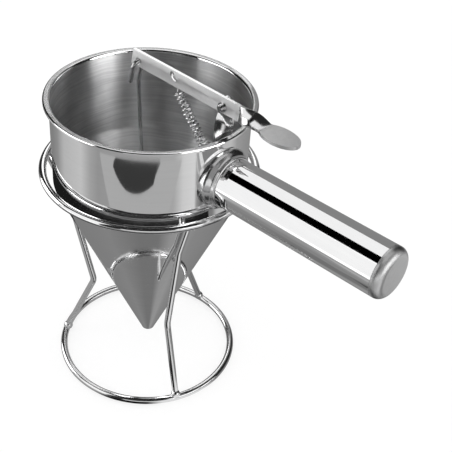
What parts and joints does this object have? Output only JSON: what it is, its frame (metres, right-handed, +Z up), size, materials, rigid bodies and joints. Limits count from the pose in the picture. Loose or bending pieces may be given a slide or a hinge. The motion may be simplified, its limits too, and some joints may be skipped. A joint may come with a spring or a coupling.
{
  "type": "batter dispenser funnel",
  "caption": "Steel funnel cup with a tube handle and a thumb lever that lifts a stopper rod against a coil spring, standing in a round wire stand.",
  "frame": {"origin": "centre of the base ring on the table, straight below the funnel's outlet", "axes": "+Z up along the funnel's axis, +X along the handle away from the funnel, +Y to the left of the handle seen from above"},
  "size_m": [0.2332, 0.1294, 0.2136],
  "materials": {
    "funnel_steel": "mirror polished outside, brushed round the inside",
    "polished_steel": "mirror polished",
    "satin_steel": "satin",
    "hardware_steel": "semi-bright",
    "stand_wire": "bright plated",
    "rod_wire": "bright drawn",
    "spring_wire": "bright drawn"
  },
  "bodies": {
    "stand": {"top_ring": "stand_wire", "base_ring": "stand_wire", "leg_1": "stand_wire", "leg_2": "stand_wire", "leg_3": "stand_wire"},
    "cup": {"funnel": "funnel_steel", "pivot_bracket": "polished_steel", "handle_collar": "polished_steel", "handle_tube": "polished_steel", "handle_end_cap": "satin_steel", "handle_insert": "satin_steel", "handle_screw": "hardware_steel", "screw_washer": "hardware_steel", "pivot_pin": "hardware_steel", "pivot_spacer": "hardware_steel", "pivot_washer": "hardware_steel", "return_spring": "spring_wire"},
    "lever": {"lever": "polished_steel"},
    "plunger": {"plunger_rod": "rod_wire", "stopper": "satin_steel"}
  },
  "joints": [
    {"name": "cup_lift", "type": "slide", "parent": "stand", "child": "cup", "axis": [0, 0, 1], "range_m": [0, 0.14]},
    {"name": "lever_pivot", "type": "hinge", "parent": "cup", "child": "lever", "pos_m": [0.0532, 0, 0.2062], "axis": [0, 1, 0], "range_deg": [0, 30], "stiffness_Nm_per_rad": 0.45, "springref_deg": -17.19, "deforming": ["return_spring"]},
    {"name": "plunger_hinge", "type": "hinge", "parent": "lever", "child": "plunger", "pos_m": [-0.00999, 0, 0.20756], "axis": [0, 1, 0], "range_deg": [-30, 0]}
  ],
  "couplings": [
    {"joint": "plunger_hinge", "follows": "lever_pivot", "ratio": -1}
  ]
}
